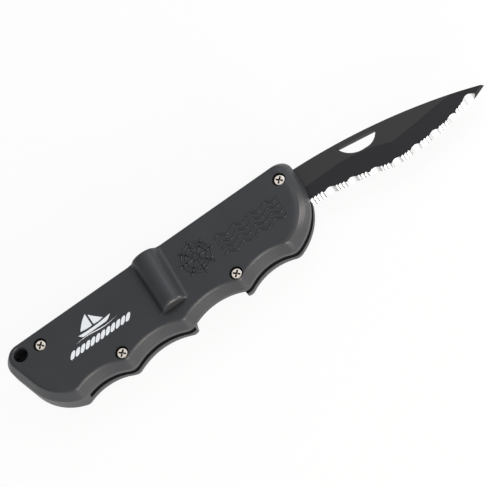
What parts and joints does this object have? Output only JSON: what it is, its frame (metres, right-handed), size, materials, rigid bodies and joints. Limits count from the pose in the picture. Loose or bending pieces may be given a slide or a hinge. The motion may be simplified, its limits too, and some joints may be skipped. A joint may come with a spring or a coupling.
{
  "type": "folding rigging knife",
  "caption": "Folding sailor's knife with finger-grooved plastic scales, a serrated blade with a half-moon shackle hole, and a spring lock bar along the spine.",
  "frame": {"origin": "on the axis of the lanyard hole, midway through the handle's thickness", "axes": "+X along the handle to the blade tip, +Y toward the spine, +Z out of the front face; the knife lies flat on its rear face"},
  "size_m": [0.1904, 0.032, 0.0216],
  "materials": {
    "scale": "moulded glass-filled nylon",
    "liner_steel": "stamped stainless plate",
    "blade_steel": "satin stainless",
    "pin_steel": "ground steel",
    "washer_bronze": "plain bronze",
    "bar_steel": "ground steel",
    "spring_steel": "drawn wire",
    "screw_steel": "nickel-plated steel",
    "insert_brass": "turned brass"
  },
  "bodies": {
    "handle": {"front_scale": "scale", "rear_scale": "scale", "front_liner": "liner_steel", "rear_liner": "liner_steel", "pivot_pin": "pin_steel", "washer_front": "washer_bronze", "washer_rear": "washer_bronze", "lock_bar_pin": "pin_steel", "lock_spring": "spring_steel", "closed_stop_pin": "pin_steel", "stop_sleeve": "pin_steel", "screw_butt": "screw_steel", "screw_rear_edge": "screw_steel", "screw_front_edge": "screw_steel", "screw_front_top": "screw_steel", "back_screw_rear": "screw_steel", "back_screw_front": "screw_steel", "insert_butt": "insert_brass", "insert_front_top": "insert_brass"},
    "blade": {"blade": "blade_steel"},
    "lock_bar": {"lock_bar": "bar_steel"}
  },
  "joints": [
    {"name": "blade_swing", "type": "hinge", "parent": "handle", "child": "blade", "pos_m": [0.10195, -0.0085, 0], "axis": [0, 0, 1], "range_deg": [-176.5, 0]},
    {"name": "lock_release", "type": "hinge", "parent": "handle", "child": "lock_bar", "pos_m": [0.05805, 0.0032, 0], "axis": [0, 0, 1], "range_deg": [-3, 0], "stiffness_Nm_per_rad": 1.5, "springref_deg": -6.88, "deforming": ["lock_spring"]}
  ]
}
